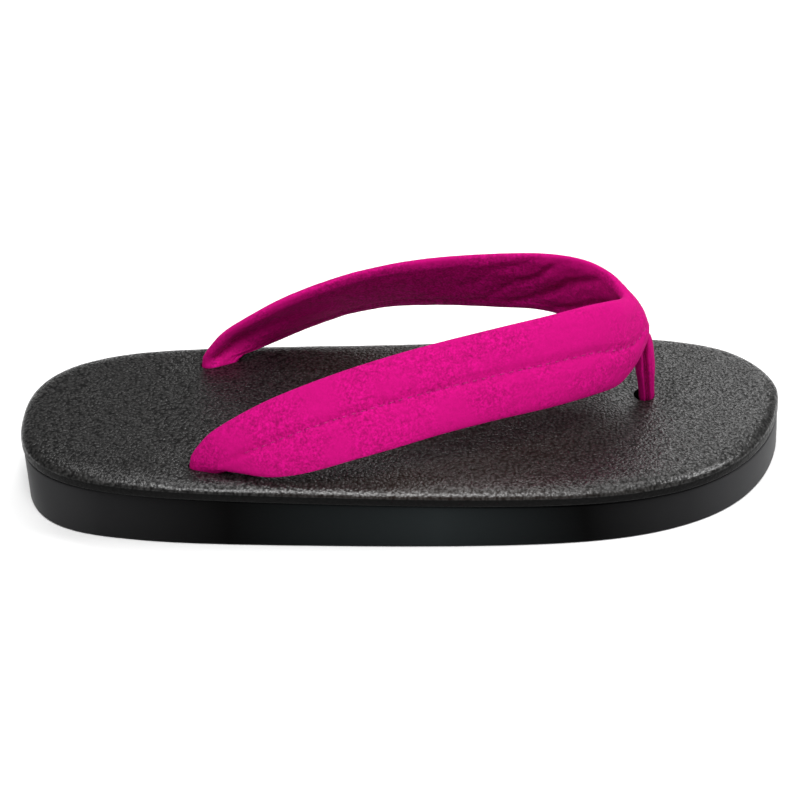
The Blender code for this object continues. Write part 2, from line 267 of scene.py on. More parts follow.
# %% The strap's edges
POST_X = 206.2 * MM - 0.5 * LENGTH
POST_OFFSET = 5 * MM
ROOT_X = 57.7 * MM - 0.5 * LENGTH
ROOT_OFFSET = -2 * MM
NOSE_PAST_POST = 1.5 * MM
STRAP_REACH = POST_X + NOSE_PAST_POST - ROOT_X
TOP_SPREAD, LOW_SPREAD = 29.5 * MM, 46 * MM
TOP_RISE, LOW_RISE = 43.2 * MM, 15.3 * MM
STRAP_THICKNESS = 5.5 * MM
STRAP_CAMBER = 0.5 * MM

STRAP_ROWS = np.array([
    # top_x, top_y, top_z, low_x, low_y, low_z, body, fold
    (0.003, 1.00, 0.060, 0.100, 0.770, 0.000, 0.86, 1.00),
    (0.016, 1.00, 0.130, 0.130, 0.830, 0.000, 0.90, 1.00),
    (0.048, 1.00, 0.255, 0.168, 0.905, 0.050, 0.92, 0.90),
    (0.100, 1.00, 0.375, 0.220, 0.965, 0.180, 0.96, 0.60),
    (0.172, 1.00, 0.510, 0.280, 0.998, 0.360, 1.00, 0.30),
    (0.265, 1.00, 0.645, 0.352, 0.998, 0.560, 1.00, 0.10),
    (0.378, 0.98, 0.775, 0.440, 0.960, 0.730, 1.00, 0.00),
    (0.510, 0.91, 0.880, 0.545, 0.868, 0.860, 1.00, 0.00),
    (0.650, 0.79, 0.950, 0.660, 0.765, 0.945, 1.00, 0.00),
    (0.768, 0.66, 0.992, 0.770, 0.662, 0.990, 1.00, 0.00),
    (0.852, 0.50, 0.998, 0.860, 0.500, 0.935, 1.00, 0.00),
    (0.905, 0.32, 0.960, 0.920, 0.330, 0.850, 1.04, 0.00),
    (0.931, 0.15, 0.905, 0.962, 0.150, 1.060, 1.10, 0.00),
    (0.940, 0.00, 0.872, 0.985, 0.000, 1.360, 1.14, 0.00),
])
CURVE_STEPS = 40


def strap_axis(x):
    """Y of the strap's centre line: straight from between the roots to the toe post, bent at the roots."""
    way = (x - ROOT_X) / (POST_X - ROOT_X)
    return HEEL_AXIS_Y + POST_OFFSET * way + ROOT_OFFSET * (1.0 - way) ** 3


def edge_points(shares, spread, rise, side):
    """Points of one edge from its shares of the reach, the spread and the rise over the footbed."""
    x = ROOT_X + STRAP_REACH * shares[:, 0]
    return np.column_stack(
        [x, strap_axis(x) + side * spread * shares[:, 1], footbed_top(x) + rise * shares[:, 2]]
    )


def smooth_rows(rows, steps):
    """Catmull-Rom curve through the rows: each piece starts and ends along the line of its neighbours."""
    padded = np.concatenate([[2 * rows[0] - rows[1]], rows, [2 * rows[-1] - rows[-2]]])
    before, start, end, after = padded[:-3], padded[1:-2], padded[2:-1], padded[3:]
    t = (np.arange(steps) / steps)[None, :, None]
    before, start, end, after = before[:, None], start[:, None], end[:, None], after[:, None]
    slope = (end - before) * t
    bend = (2 * before - 5 * start + 4 * end - after) * t**2
    twist = (3 * start - before - 3 * end + after) * t**3
    curve = start + 0.5 * (slope + bend + twist)
    return np.concatenate([curve.reshape(-1, rows.shape[1]), rows[-1:]])


def strap_table():
    """Upper edge, lower edge, body and fold from the lateral root round the nose to the medial root."""
    halves = []
    for rows, side in ((STRAP_ROWS, -1.0), (STRAP_ROWS[-2::-1], 1.0)):
        top = edge_points(rows[:, 0:3], TOP_SPREAD, TOP_RISE, side)
        low = edge_points(rows[:, 3:6], LOW_SPREAD, LOW_RISE, side)
        halves.append(np.hstack([top, low, rows[:, 6:]]))
    return smooth_rows(np.concatenate(halves), CURVE_STEPS)


TABLE = strap_table()
MIDDLE = 0.5 * (TABLE[:, 0:3] + TABLE[:, 3:6])
STEP_LENGTHS = np.linalg.norm(np.diff(MIDDLE, axis=0), axis=1)
DISTANCE = np.concatenate([[0.0], np.cumsum(STEP_LENGTHS)])
STRAP_LENGTH = DISTANCE[-1]
NOSE = 0.5 * STRAP_LENGTH
TANGENT = unit(np.gradient(MIDDLE, axis=0))
print("strap's middle line:", round(STRAP_LENGTH / MM, 1), "mm")


def along_strap(column, distance):
    """The table's columns, read at distances along the strap's middle line."""
    return np.stack([np.interp(distance, DISTANCE, values) for values in column.T], axis=-1)


# %% [markdown]
# ## Folds, seam and drag lines in the strap
# Velvet over a pad never lies dead smooth. The sewn middle line pulls a narrow valley, with a small pucker
# at each stitch. Inside the nose the turned band crowds into slanting folds. Near the slots it is folded
# lengthwise. A bump texture could draw these, but they show in the outline and catch the light, so each one
# is a term in the offset of the surface. Depths, sizes and reaches are millimetres of the real strap. Places
# and shares are counted across it, from -1 at its lower edge to 1 at its upper edge.

# %% The strap's relief
SEAM_DEPTH, SEAM_SHARE = 0.85 * MM, 0.13
SEAM_SINK, SEAM_SINK_REACH = 0.30, 15 * MM
SEAM_FADE_ROOT, SEAM_FADE_NOSE = 14 * MM, 9 * MM
STITCH_PITCH = 3.0 * MM
PUCKER_DEPTH, PUCKER_SHARE = 0.25 * MM, 0.6 * SEAM_SHARE
LONG_WAVE_DEPTH, LONG_WAVE_SIZE = 0.16 * MM, 17 * MM
SHORT_WAVE_DEPTH, SHORT_WAVE_SIZE = 0.05 * MM, 5 * MM
RUFFLE_DEPTH, RUFFLE_SIZE = 0.035 * MM, 1.8 * MM
DRAG_DEPTH, DRAG_PITCH, DRAG_LEAN = 0.06 * MM, 4.2 * MM, 12 * MM
DRAG_FROM_NOSE, DRAG_REACH = 20 * MM, 16 * MM
DRAG_PLACE, DRAG_SHARE = -0.6, 0.5
HEM_PLACES = (-0.50, -0.60)
HEM_DEPTH, HEM_SHARE = 0.35 * MM, 0.035
NOSE_FOLD_DEPTH, NOSE_FOLD_SPACING = 1.1 * MM, 0.72
NOSE_FOLD_DRIFT = 0.042 / MM
NOSE_FOLD_WANDER, WANDER_SIZE = 0.10, 24 * MM
NOSE_FOLD_FROM_NOSE, NOSE_FOLD_REACH = 30 * MM, 26 * MM
LIP_HEIGHT, LIP_PLACE, LIP_SHARE = 0.2 * MM, 0.84, 0.09
TUCK_DEPTH, TUCK_PLACE, TUCK_SHARE = 0.15 * MM, 0.66, 0.12
LIP_FADE_ROOT = 30 * MM
NOISE_HALF_WIDTH, NOISE_FACE_GAP = 15 * MM, 40 * MM


def seam_place(distance):
    """Where the seam lies across the strap: in the middle, sinking a little as it rounds the nose."""
    return -SEAM_SINK * bell(distance - NOSE, SEAM_SINK_REACH)


def outer_relief(distance, across, place):
    """The seam's valley with a pucker at each stitch, fainter at the slots and the nose, and drag lines."""
    to_nose = np.abs(distance - NOSE)
    stitch = 0.5 + 0.5 * np.cos(2.0 * math.pi * distance / STITCH_PITCH)
    aside = across - seam_place(distance)
    seam = -SEAM_DEPTH * bell(aside, SEAM_SHARE) - PUCKER_DEPTH * stitch * bell(aside, PUCKER_SHARE)
    shown = smoothstep((NOSE - to_nose) / SEAM_FADE_ROOT) * (1.0 - 0.7 * bell(to_nose, SEAM_FADE_NOSE))
    slant = distance + np.sign(distance - NOSE) * across * DRAG_LEAN
    drag = DRAG_DEPTH * np.sin(2.0 * math.pi * slant / DRAG_PITCH)
    drag = drag * bell(to_nose - DRAG_FROM_NOSE, DRAG_REACH) * bell(across - DRAG_PLACE, DRAG_SHARE)
    return seam * shown + drag + RUFFLE_DEPTH * soft_noise(place, RUFFLE_SIZE, seed=7)


def inner_relief(distance, across, place):
    """Two hem lines, slanting folds crowded inside the nose, and a lip along the edges with a tuck below."""
    to_nose = np.abs(distance - NOSE)
    hem = sum(-HEM_DEPTH * bell(across - hem_place, HEM_SHARE) for hem_place in HEM_PLACES)
    wander = NOSE_FOLD_WANDER * soft_noise(place, WANDER_SIZE, seed=8)
    lean = across + NOSE_FOLD_DRIFT * to_nose + wander
    crowd = bell(to_nose - NOSE_FOLD_FROM_NOSE, NOSE_FOLD_REACH) * (1.0 - across**4)
    valley = 0.5 + 0.5 * np.cos(2.0 * math.pi * lean / NOSE_FOLD_SPACING)
    folds = NOSE_FOLD_DEPTH * (0.35 - valley**2.2) * crowd
    lip = LIP_HEIGHT * bell(np.abs(across) - LIP_PLACE, LIP_SHARE)
    tuck = TUCK_DEPTH * bell(across - TUCK_PLACE, TUCK_SHARE)
    return hem + folds + (lip - tuck) * smoothstep((NOSE - to_nose) / LIP_FADE_ROOT)


def strap_relief(distance, across, outer):
    """Offset of the surface, outwards from the strap: the pad's soft waves plus the relief of its face."""
    place = np.broadcast_arrays(distance, across * NOISE_HALF_WIDTH, outer * NOISE_FACE_GAP)
    place = np.stack(place, axis=-1)
    waves = LONG_WAVE_DEPTH * soft_noise(place, LONG_WAVE_SIZE, seed=3)
    waves = waves + SHORT_WAVE_DEPTH * soft_noise(place, SHORT_WAVE_SIZE, seed=5)
    outside = outer_relief(distance, across, place)
    inside = inner_relief(distance, across, place)
    return waves + np.where(outer > 0, outside, inside)


print("seam valley:", SEAM_DEPTH / MM, "mm deep, with a pucker every", STITCH_PITCH / MM, "mm")

# %% [markdown]
# ## A point of the strap
# With the edges and the relief known, any point of the strap can be worked out from three numbers: how far
# along it lies, how far across, and on which face. The stitches are placed by the same function later.

# %% The strap's surface
FOLD_DEPTH, FOLD_PLACE, FOLD_SHARE = 2.0 * MM, 0.35, 0.26
TOP_EDGE_SUNK = 0.03
REST, REST_SOFTNESS = 0.45 * MM, 0.5 * MM


def strap_point(distance, across, outer):
    """Point = middle + half width * across + outward * offset. The offset is half the pad's thickness times
    (1 - |across|^3)^0.5, plus the camber, plus the relief. Nothing goes lower than just over the footbed."""
    row = along_strap(TABLE, distance)
    top, low, body, fold = row[..., 0:3], row[..., 3:6], row[..., 6], row[..., 7]
    middle, half = 0.5 * (top + low), 0.5 * (top - low)
    outward = unit(np.cross(along_strap(TANGENT, distance), half))
    rounding = np.sqrt(np.clip(1.0 - np.abs(across) ** 3, 0.0, 1.0))
    bow = STRAP_CAMBER * (1.0 - across**2)
    crease = fold * FOLD_DEPTH * bell(across - FOLD_PLACE, FOLD_SHARE) * (outer < 0)
    relief = strap_relief(distance, across, outer) * rounding
    offset = body * (0.5 * STRAP_THICKNESS * rounding * outer + bow) + crease + relief * outer
    spread = across - TOP_EDGE_SUNK * 0.5 * (1.0 + across)
    point = middle + half * spread[..., None] + outward * offset[..., None]
    rest = footbed_top(point[..., 0]) + REST
    above = point[..., 2] - rest
    point[..., 2] = rest + 0.5 * (above + np.sqrt(above**2 + REST_SOFTNESS**2))
    return point


# %% [markdown]
# ## The shade on the strap
# The pile inside the strap is brushed the other way and lies in shadow. Light alone would show that only in
# part, so each point also keeps a painted shade: how much darker its colour is drawn. The velvet reads that
# attribute.

# %% Shade
# Each fade is where it starts and how long it runs. A fade counted backwards has a negative start.
UPPER_ROLL_FADE, LOWER_ROLL_FADE = (-0.99, 0.16), (-1.02, 0.10)
LOW_SIDE_FADE, UPPER_SIDE_SHADE = (-0.75, 0.7), 0.62
SLOT_FADE = (12 * MM, 50 * MM)
NOSE_LIGHT, NOSE_LIGHT_REACH = 0.95, 40 * MM
CREASE_PLACE, CREASE_SHARE, CREASE_FADE = 0.50, 0.16, (-60 * MM, 40 * MM)
GROOVE_SHADE, GROOVE_SHARE, GROOVE_FADE = 0.8, 0.045, (8 * MM, 14 * MM)


def strap_shade(distance, across, outer):
    """Painted shade = the greatest of three: the inner face between slots and nose, fading out near the nose,
    its fold near the slots, and the groove of the outer seam. Each fades out with an S curve."""
    away = np.minimum(distance, STRAP_LENGTH - distance)
    inner = (outer < 0) * fade(-across, *UPPER_ROLL_FADE) * fade(across, *LOWER_ROLL_FADE)
    inner = inner * (UPPER_SIDE_SHADE + (1.0 - UPPER_SIDE_SHADE) * fade(-across, *LOW_SIDE_FADE))
    depth = fade(away, *SLOT_FADE) * (1.0 - NOSE_LIGHT * bell(away - NOSE, NOSE_LIGHT_REACH))
    crease = (outer < 0) * bell(across - CREASE_PLACE, CREASE_SHARE) * fade(-away, *CREASE_FADE)
    aside = across - seam_place(distance)
    groove = GROOVE_SHADE * (outer > 0) * bell(aside, GROOVE_SHARE) * fade(away, *GROOVE_FADE)
    return np.maximum(np.maximum(inner * depth, crease), groove)


# %% [markdown]
# ## The strap's ends
# How the ends are held can't be seen from outside. Here each goes on down through its slot as a narrow flat
# tail, and the holes in the board are later cut from the same outline, grown a little.

# %% The tails
TAIL_LENGTH, TAIL_THICKNESS = 13 * MM, 5 * MM
TAIL_ANGLE = math.radians(20)
TAIL_SHOULDER = 0.6 * MM
SECTION_POINTS = 68
NECK_STEPS = 5


def section_loop(count):
    """Across and side of the points round one section: over the outer face, then back over the inner."""
    half_turn = np.linspace(0.0, math.pi, count + 1)
    across = np.concatenate([np.cos(half_turn), np.cos(half_turn)[-2:0:-1]])
    outer = np.where(np.arange(len(across)) <= count, 1.0, -1.0)
    return across, outer


def tail_plan(side, growth, count):
    """Outline of one tail from above: a flat rounded bar that runs apart from the other towards the toe."""
    across, outer = section_loop(count)
    forward = np.array([math.cos(TAIL_ANGLE), side * math.sin(TAIL_ANGLE)])
    sideways = np.array([-math.sin(TAIL_ANGLE), side * math.cos(TAIL_ANGLE)])
    centre = np.array([ROOT_X, side * TOP_SPREAD]) + forward * 0.5 * TAIL_LENGTH
    lengthwise = -across * (0.5 * TAIL_LENGTH + growth)
    thickness = np.sqrt(1.0 - across**4) * outer * (0.5 * TAIL_THICKNESS + growth)
    plan = centre + lengthwise[:, None] * forward + thickness[:, None] * sideways
    plan[:, 1] += strap_axis(plan[:, 0])
    return plan


def tail_rings(side, first_ring):
    """Rings from the bottom of the slot up to the footbed, then easing over into the band's first ring."""
    plan = tail_plan(side, 0.0, SECTION_POINTS)
    bottom = np.column_stack([plan, sole_top(plan[:, 0]) + CLEARANCE])
    neck = np.column_stack([plan, footbed_top(plan[:, 0]) - TAIL_SHOULDER])
    ease = np.linspace(0.0, 1.0, NECK_STEPS + 1)[:-1, None, None]
    return np.concatenate([bottom[None], neck + (first_ring - neck) * ease**1.5])


print("each tail:", TAIL_LENGTH / MM, "x", TAIL_THICKNESS / MM, "mm")

# %% [markdown]
# ## The strap as a mesh
# The surface is sampled on a grid: sections along the strap, points round each section. The tails close both
# ends. On the real sandal the strap is a soft tube with a filling.

# %% Make the strap
STRAP_SECTIONS = 640


def make_strap():
    across, outer = section_loop(SECTION_POINTS)
    distance = np.linspace(0.0, STRAP_LENGTH, STRAP_SECTIONS)
    grid = np.broadcast_arrays(distance[:, None], across[None], outer[None])
    band = strap_point(*[np.ascontiguousarray(part) for part in grid])
    lateral = tail_rings(-1.0, band[0])
    medial = tail_rings(1.0, band[-1])[::-1]
    rings = np.concatenate([lateral, band, medial])
    tail = np.zeros(len(lateral))
    reach = np.concatenate([tail, distance, tail + STRAP_LENGTH])
    # Painted shade of each point, which the velvet reads as darker plum.
    shade = strap_shade(reach[:, None], across[None], outer[None])
    ends = np.stack([rings[0].mean(axis=0), rings[-1].mean(axis=0)])
    points = np.concatenate([rings.reshape(-1, 3), ends])
    count = rings.shape[1]
    ring = np.arange(count)
    following = (ring + 1) % count
    last = (len(rings) - 1) * count
    foot = np.stack([np.full(count, len(points) - 2), following, ring], axis=-1)
    head = np.stack([np.full(count, len(points) - 1), ring + last, following + last], axis=-1)
    faces = [grid_faces(len(rings), count, wrap=True), foot, head]
    return make_piece("velvet_strap", points, faces, {"shade": np.append(shade.ravel(), [0.0, 0.0])})


strap = make_strap()
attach(strap, "root")
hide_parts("strap")

# %% [markdown]
# ## The toe post
# A strip of the same velvet is folded lengthwise, drawn round the strap's nose and pulled down through the
# hole between the toes. From the side it shows two plies with a deep line between them. Two separate plies
# would have to be kept from cutting each other, so it is one stack of rings: each is an oval with a valley on
# both sides where the plies meet.

# %% Make the toe post
POST_LENGTH, POST_WIDTH = 6.6 * MM, 7.4 * MM
POST_LEAN = 1.4 * MM
POST_INTO_NOSE = 2.0 * MM
POST_HEIGHT = LOW_RISE * STRAP_ROWS[-1, 5] + POST_INTO_NOSE
PLY_LINE_DEPTH, PLY_LINE_PLACE, PLY_LINE_WIDTH = 2.3 * MM, 0.1 * MM, 0.60 * MM
GATHERS, GATHER_DEPTH, GATHER_TURN = 9.0, 0.10 * MM, 3.0
POST_SQUARENESS = 0.7
POST_DOME = 0.2 * MM
PLY_SHADE_WIDTH, BACK_PLY_SHADE = 0.7 * MM, 0.15
POST_POINTS, POST_STEPS = 72, 12

POST_ROWS = np.array([
    # height, length, width
    (0.00, 0.78, 0.90),
    (0.22, 0.86, 0.94),
    (0.45, 1.00, 1.00),
    (0.64, 1.00, 0.94),
    (0.80, 0.96, 0.84),
    (0.93, 0.84, 0.70),
    (1.00, 0.60, 0.50),
])


def post_ring(height, length, width):
    """Ring of the post: an oval whose sides have a valley between the plies, and fine gathers all round."""
    turn = np.linspace(0.0, 2.0 * math.pi, POST_POINTS, endpoint=False)
    x = 0.5 * POST_LENGTH * length[:, None] * np.cos(turn)
    half_width = 0.5 * POST_WIDTH * width[:, None]
    valley = PLY_LINE_DEPTH * width[:, None] * bell(x - PLY_LINE_PLACE, PLY_LINE_WIDTH)
    gathers = GATHER_DEPTH * width[:, None] * np.sin(GATHERS * turn + GATHER_TURN * height[:, None])
    side = np.sign(np.sin(turn)) * np.abs(np.sin(turn)) ** POST_SQUARENESS
    y = side * (half_width - valley + gathers)
    return np.stack([POST_X - POST_LEAN * height[:, None] + x, HEEL_AXIS_Y + POST_OFFSET + y], axis=-1)


def make_toe_post():
    rows = smooth_rows(POST_ROWS, POST_STEPS)
    height, length, width = rows.T
    plan = post_ring(height, length, width)
    z = footbed_top(POST_X) + POST_HEIGHT * height
    stack = np.concatenate([plan, np.broadcast_to(z[:, None, None], plan.shape[:2] + (1,))], axis=-1)
    foot = stack[:1].copy()
    foot[..., 2] = sole_top(foot[..., 0]) + CLEARANCE
    rings = np.concatenate([foot, stack])
    cap = 0.5 * (rings[-1] + rings[-1].mean(axis=0))
    cap[:, 2] += POST_DOME
    rings = np.concatenate([rings, cap[None]])
    points = rings.reshape(-1, 3)
    count = POST_POINTS
    faces = [grid_faces(len(rings), count, wrap=True), disc(0, count), disc(len(points) - count, count)]
    middle = np.repeat(rings.mean(axis=1)[:, 0], count)
    forward = points[:, 0] - middle
    # Painted shade: darker in the valley between the plies and a little on the back ply.
    shade = np.maximum(BACK_PLY_SHADE * smoothstep(-forward / MM), bell(forward, PLY_SHADE_WIDTH))
    return make_piece("velvet_toe_post", points, faces, {"shade": shade})


post = make_toe_post()
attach(post, "root")
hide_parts("toe_post")

# %% [markdown]
# ## The wedge sole
# The sole is one block of black foam, moulded as a wedge with a small radius at its rims. A box could be cut
# to it, but the slab above already gives it: it only needs a wall smooth enough to carry a reflection.

# %% Make the sole
SOLE_RADIUS = 0.8 * MM
HEEL_OVERHANG, TOE_OVERHANG = 1.8 * MM, 0.8 * MM
END_TRIM, END_START, END_RUN = 0.8, 0.70, 0.25

# The board stands out over the sole at its sides and is nearly flush with it at both ends.
overhang = HEEL_OVERHANG + (TOE_OVERHANG - HEEL_OVERHANG) * station(OUTLINE[:, 0])
to_end = np.abs(2.0 * OUTLINE[:, 0] / LENGTH)
overhang = overhang * (1.0 - END_TRIM * smoothstep((to_end - END_START) / END_RUN))
sole_loop = inset(OUTLINE, overhang)
sole_rim = quarter_turn(SOLE_RADIUS, SOLE_RADIUS, 5, upper=False)
sole_rim += quarter_turn(SOLE_RADIUS, SOLE_RADIUS, 5, upper=True)
sole = slab("foam_sole", sole_loop, sole_rim, lambda x: 0.0 * x, sole_top, columns=12)
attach(sole, "root")
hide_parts("outsole")

# %% [markdown]
# ## The covered board
# The board is wrapped in leatherette that rolls over its rim and tucks in underneath. The cover is drawn
# down a little where the strap and the post go through it. Each slot has the outline of the strap's own tail,
# grown all round, so that the strap's ends can't touch the board.

# %% Make the footbed
ROLL_REACH, ROLL_DROP = 8 * MM, 3.4 * MM
TUCK_RADIUS = 1.0 * MM
SLOT_SLACK = 0.4 * MM
HOLE_SLACK, HOLE_SETBACK = 0.2 * MM, 0.8 * MM
HOLE_OUTWARD = 0.5 * MM
DIP_DEPTH, DIP_REACH = 0.7 * MM, 5.5 * MM
BOARD_WAVE_DEPTH, BOARD_WAVE_SIZE = 0.10 * MM, 38 * MM
COVER_WAVE_DEPTH, COVER_WAVE_SIZE = 0.03 * MM, 9 * MM
HOLE_POINTS, SLOT_POINTS = 96, 40


def hole_plan(growth):
    """The oval hole round the toe post, set back from it a little and towards the outer side."""
    turn = np.linspace(0.0, 2.0 * math.pi, HOLE_POINTS, endpoint=False)
    x = POST_X - HOLE_SETBACK + (0.5 * POST_LENGTH + growth) * np.cos(turn)
    y = HEEL_AXIS_Y + POST_OFFSET - HOLE_OUTWARD + (0.5 * POST_WIDTH + growth) * np.sin(turn)
    return np.column_stack([x, y])


HOLES = {
    "lateral_slot": tail_plan(-1.0, SLOT_SLACK, SLOT_POINTS),
    "medial_slot": tail_plan(1.0, SLOT_SLACK, SLOT_POINTS),
    "toe_hole": hole_plan(HOLE_SLACK),
}


def footbed_relief(points):
    """Height added to the cover: a dip round each hole, and the faint unevenness of a wrapped board."""
    height = BOARD_WAVE_DEPTH * soft_noise(points[:, :2], BOARD_WAVE_SIZE, seed=11)
    height = height + COVER_WAVE_DEPTH * soft_noise(points[:, :2], COVER_WAVE_SIZE, seed=12)
    for plan in HOLES.values():
        centre = plan.mean(axis=0)
        reach = 0.5 * (plan.max(axis=0) - plan.min(axis=0))
        away = np.maximum(np.abs(points[:, :2] - centre) - reach, 0.0)
        height = height - DIP_DEPTH * bell(np.linalg.norm(away, axis=1), DIP_REACH)
    return height


footbed_rim = quarter_turn(TUCK_RADIUS, TUCK_RADIUS, 5, upper=False)
footbed_rim += quarter_turn(ROLL_REACH, ROLL_DROP, 16, upper=True)
footbed = slab("covered_footbed", OUTLINE, footbed_rim, lambda x: sole_top(x) + CLEARANCE, footbed_top,
               columns=110, relief=footbed_relief)

# %% [markdown]
# ### Cutting the holes
# The slots and the toe hole go right through. They could be left out of the grid of faces, but a Boolean with
# closed prisms gives a clean wall with little work. It is applied at once, so that the piece is a plain mesh.

# %% Cut the holes
CUT_LOW, CUT_HIGH = -5 * MM, 45 * MM
SHARP_ANGLE = math.radians(50)


def prism(name, plan):
    """A closed upright prism over a plan, from under the sole to over the footbed."""
    count = len(plan)
    points = np.concatenate([np.column_stack([plan, np.full(count, z)]) for z in (CUT_LOW, CUT_HIGH)])
    return make_piece(name, points, [grid_faces(2, count, wrap=True), disc(0, count), disc(count, count)])


def cut_holes(piece):
    """Cuts the prisms over the hole plans out of the piece, and takes the prisms away again."""
    for name, plan in HOLES.items():
        cutter = prism(name, plan)
        boolean = piece.modifiers.new(name, "BOOLEAN")
        boolean.operation = "DIFFERENCE"
        boolean.object = cutter
    graph = bpy.context.evaluated_depsgraph_get()
    cut = bpy.data.meshes.new_from_object(piece.evaluated_get(graph))
    piece.modifiers.clear()
    piece.data = cut
    cut.set_sharp_from_angle(angle=SHARP_ANGLE)
    for name in HOLES:
        bpy.data.objects.remove(bpy.data.objects[name], do_unlink=True)


cut_holes(footbed)
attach(footbed, "root")
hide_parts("footbed")

# %% [markdown]
# ## Stitches
# The middle seam is sewn with a thread of the strap's colour, and two rows of finer stitches hold the hem
# inside. Copies of one object along a curve would do as well, but would have to be fitted to the strap. Here
# all stitches of a row are one mesh: each is a small closed capsule that gets a frame from the strap's own
# surface, and the capsule's points are turned into every frame in one product of arrays.

# %% Sew the stitches
SEWN_FROM = 14 * MM
SEAM_STITCH, SEAM_THREAD = 1.9 * MM, 0.20 * MM
HEM_PITCH, HEM_STITCH, HEM_THREAD = 2.2 * MM, 1.6 * MM, 0.16 * MM
THREAD_SINK = 0.05 * MM
CAPSULE_RINGS, CAPSULE_POINTS = 5, 6
SMALL_STEP, SMALL_SHARE = 0.2 * MM, 0.02


def capsule(length, radius):
    """Points and faces of one stitch along X: rings whose radius follows a half circle at both ends."""
    lean = np.linspace(-0.5 * math.pi, 0.5 * math.pi, CAPSULE_RINGS + 2)[1:-1]
    x = np.sin(lean) * 0.5 * length
    size = np.cos(lean) ** 0.5 * radius
    turn = np.linspace(0.0, 2.0 * math.pi, CAPSULE_POINTS, endpoint=False)
    ring = np.stack([np.broadcast_to(x[:, None], (CAPSULE_RINGS, CAPSULE_POINTS)),
                     size[:, None] * np.cos(turn), size[:, None] * np.sin(turn)], axis=-1)
    last = CAPSULE_POINTS * (CAPSULE_RINGS - 1)
    caps = np.concatenate([disc(0, CAPSULE_POINTS), disc(last, CAPSULE_POINTS)])
    return ring.reshape(-1, 3), [grid_faces(CAPSULE_RINGS, CAPSULE_POINTS, wrap=True), caps]


def surface_frames(distance, across, outer):
    """Point, direction along the strap and outward normal of the surface, by differences of its formula."""
    here = strap_point(distance, across, outer)
    ahead = unit(strap_point(distance + SMALL_STEP, across, outer) - here)
    up = strap_point(distance, across + SMALL_SHARE, outer) - here
    normal = unit(np.cross(ahead, up)) * outer[:, None]
    return here, ahead, normal


def sew(name, across_place, face, pitch, length, radius):
    """A row of stitches along the strap. across_place gives the row's place across it at each distance, and
    face is 1 for the outer face and -1 for the inner."""
    distance = np.arange(SEWN_FROM, STRAP_LENGTH - SEWN_FROM, pitch)
    across = across_place(distance)
    outer = np.full(len(distance), face)
    here, ahead, normal = surface_frames(distance, across, outer)
    side = np.cross(normal, ahead)
    shape, faces = capsule(length, radius)
    frames = np.stack([ahead, side, normal], axis=1)
    points = (here - normal * THREAD_SINK)[:, None] + np.einsum("pk,nkj->npj", shape, frames)
    starts = np.arange(len(distance))[:, None, None] * len(shape)
    every = [(group + starts).reshape(-1, group.shape[1]) for group in faces]
    stitches = make_piece(name, points, every)
    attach(stitches, "root")
    print(f"{name}: {len(distance)} stitches")
    return stitches


def straight_row(place):
    """A row that keeps one place across the strap."""
    return lambda distance: np.full(len(distance), place)


seam_thread = sew("seam_thread", seam_place, 1.0, STITCH_PITCH, SEAM_STITCH, SEAM_THREAD)
hem_threads = [
    sew(f"hem_thread_{n}", straight_row(place), -1.0, HEM_PITCH, HEM_STITCH, HEM_THREAD)
    for n, place in enumerate(HEM_PLACES)
]

# %% [markdown]
# ## Materials
# Each finish is built from noise in real millimetres, read from the object's own coordinates, so nothing
# slides or stretches. A picture of cloth would need an unwrapped surface and would repeat. One helper adds a
# node, sets it and links it.

# %% Tools for materials


def linear(code, alpha=1.0):
    """A colour from its sRGB hex code to the linear values that Blender wants."""
    parts = [int(code[i: i + 2], 16) / 255 for i in (1, 3, 5)]
    straight = [part / 12.92 if part <= 0.04045 else ((part + 0.055) / 1.055) ** 2.4 for part in parts]
    return (*straight, alpha)


def add(material, kind, settings=None, inputs=None, stops=()):
    """Adds a node. settings are its properties, inputs are values or the sockets that feed it, and stops are
    the places and sRGB hex codes of a colour ramp."""
    node = material.node_tree.nodes.new(kind)
    for name, value in (settings or {}).items():
        setattr(node, name, value)
    for name, value in (inputs or {}).items():
        if isinstance(value, bpy.types.NodeSocket):
            material.node_tree.links.new(value, node.inputs[name])
        else:
            node.inputs[name].default_value = value
    for _ in stops[2:]:
        node.color_ramp.elements.new(0.5)
    for element, (place, code) in zip(node.color_ramp.elements if stops else (), stops):
        element.position = place
        element.color = linear(code)
    return node


def new_material(name, constants):
    """A material with its Principled shader, whose constant values are set straight on its sockets."""
    material = bpy.data.materials.new(name)
    material.use_nodes = True
    shader = material.node_tree.nodes["Principled BSDF"]
    for socket, value in constants.items():
        shader.inputs[socket].default_value = value
    print("material:", name)
    return material, shader


def link_all(material, shader, sockets):
    """Links each named socket of the shader to what feeds it."""
    for name, source in sockets.items():
        material.node_tree.links.new(source, shader.inputs[name])


def per_metre(size):
    """Scale of a noise texture whose blobs are about this size."""
    return 1.0 / size


# %% [markdown]
# ### Cotton velvet, dyed fuchsia
# Velvet is woven with loops that are cut into a short upright pile. The pile takes light in from above and
# gives it back at its edges, so the cloth looks deep face-on and pale where it turns away: that is the
# sheen. Hairs could be grown for it, but at this distance they run together. So brushed spots a millimetre
# or so across stand a little lighter or darker, and a bump roughens them. The shade attribute mixes in a
# painted shade of dark plum: on the inner face, in the folds near the slots and in the seam's groove.

# %% Velvet
# The real pile is a few tenths of a millimetre wide. It is drawn coarser, so that it shows.
PILE_SIZE = 0.75 * MM
BRUSHED_SIZE = 1.7 * MM
COMBED_SIZE = 16 * MM
PILE_DEPTH = 0.25 * MM
BRIGHT_PILE = [(0.50, "#84074e"), (0.74, "#b10869"), (0.96, "#cf0c80")]
SHADED_PILE = [(0.52, "#760548"), (0.74, "#ae0a69"), (0.98, "#d2108a")]
COMBED_FLAT = "#b6096d"
LEAST_COMBED, MOST_COMBED = 0.15, 0.85


